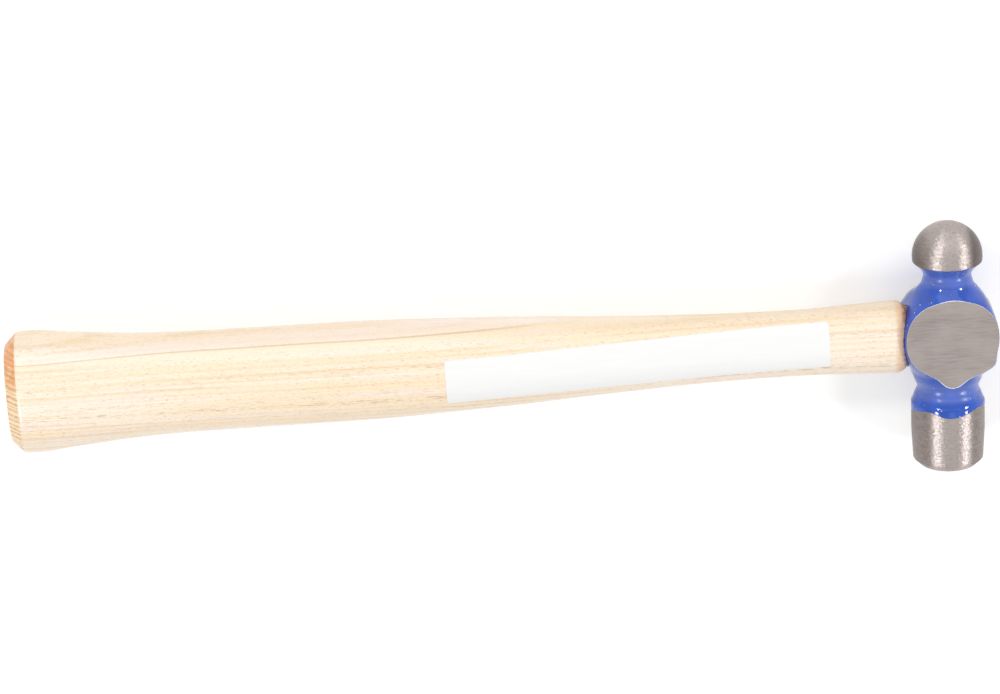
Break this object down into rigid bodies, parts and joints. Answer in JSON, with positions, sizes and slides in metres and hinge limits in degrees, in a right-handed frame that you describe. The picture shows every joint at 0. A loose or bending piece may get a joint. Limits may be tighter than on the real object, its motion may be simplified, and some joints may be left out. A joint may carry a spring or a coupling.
{
  "type": "ball peen hammer",
  "caption": "Small ball peen hammer: forged steel head with a ball peen and a round poll, wedged on a tapered wooden handle with a paper label.",
  "frame": {"origin": "centre of the whole hammer's box in X and Y, on the plane it lies on (Z = 0)", "axes": "+X along the handle from the butt to the head, +Y along the head from the striking face to the ball, +Z square to the ground cheeks, upwards with the hammer lying on its side"},
  "size_m": [0.2532, 0.0658, 0.0222],
  "materials": {
    "head": "forged steel in glossy blue enamel; ball, poll and cheeks ground bare",
    "handle": "pale ash, clear varnish",
    "wood_wedge": "bare hardwood, end grain",
    "steel_wedge": "bare mild steel",
    "label": "plain gloss-coated sticker"
  },
  "bodies": {
    "root": {"head": "head", "handle": "handle", "wood_wedge": "wood_wedge", "steel_wedge": "steel_wedge", "label": "label"}
  },
  "joints": []
}
